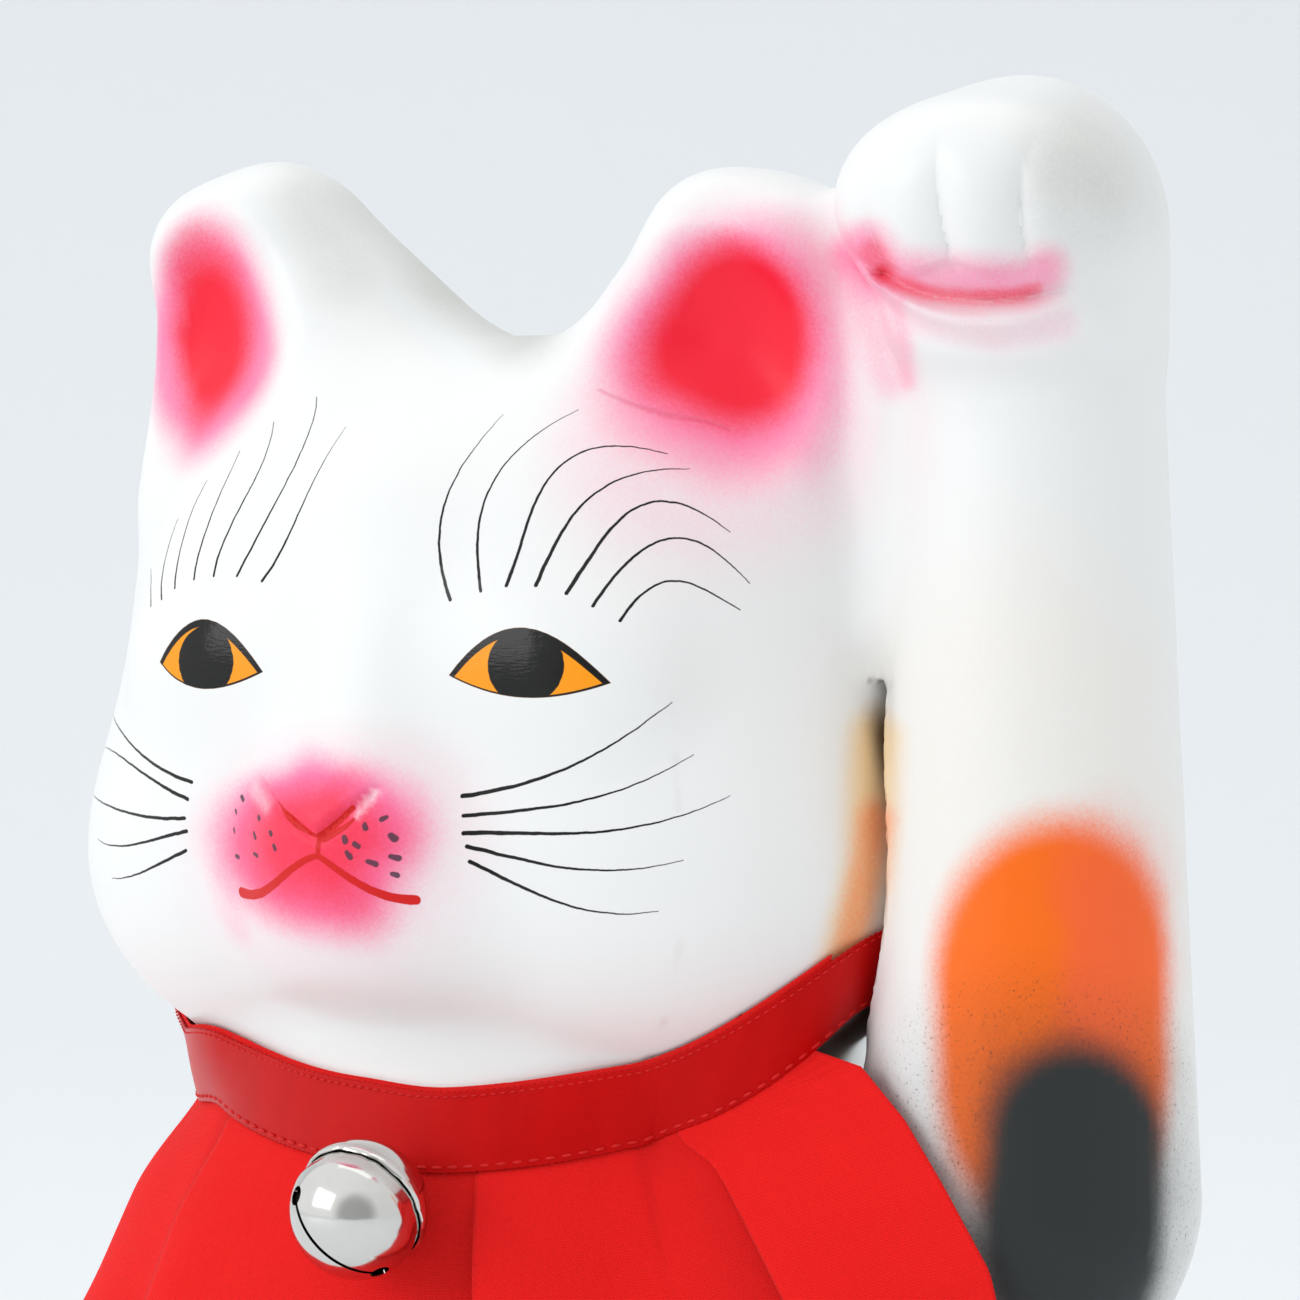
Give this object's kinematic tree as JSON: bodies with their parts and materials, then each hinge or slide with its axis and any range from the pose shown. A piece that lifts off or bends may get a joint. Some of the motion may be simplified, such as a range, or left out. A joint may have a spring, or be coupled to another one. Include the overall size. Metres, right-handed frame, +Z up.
{
  "type": "maneki-neko figure",
  "caption": "Seated glazed ceramic beckoning cat with its left paw raised beside the head, wearing a red satin neck ribbon, a pleated cloth bib and a round jingle bell.",
  "frame": {"origin": "on the flat underside, on the upright axis that the neck and head turn about", "axes": "+Z up, -Y the way the cat looks, +X towards the cat's own left, the side of the raised arm"},
  "size_m": [0.2497, 0.224, 0.3977],
  "materials": {
    "glaze": "glossy white glaze with airbrushed orange, charcoal and pink and brush-painted black and red lines",
    "satin": "red satin ribbon with a soft sheen",
    "cotton": "matt red plain-woven cotton",
    "bell_metal": "bright nickel plating on pressed steel"
  },
  "bodies": {
    "root": {"cat": "glaze", "ribbon": "satin", "bib": "cotton", "bell_front_cup": "bell_metal", "bell_back_cup": "bell_metal"}
  },
  "joints": []
}
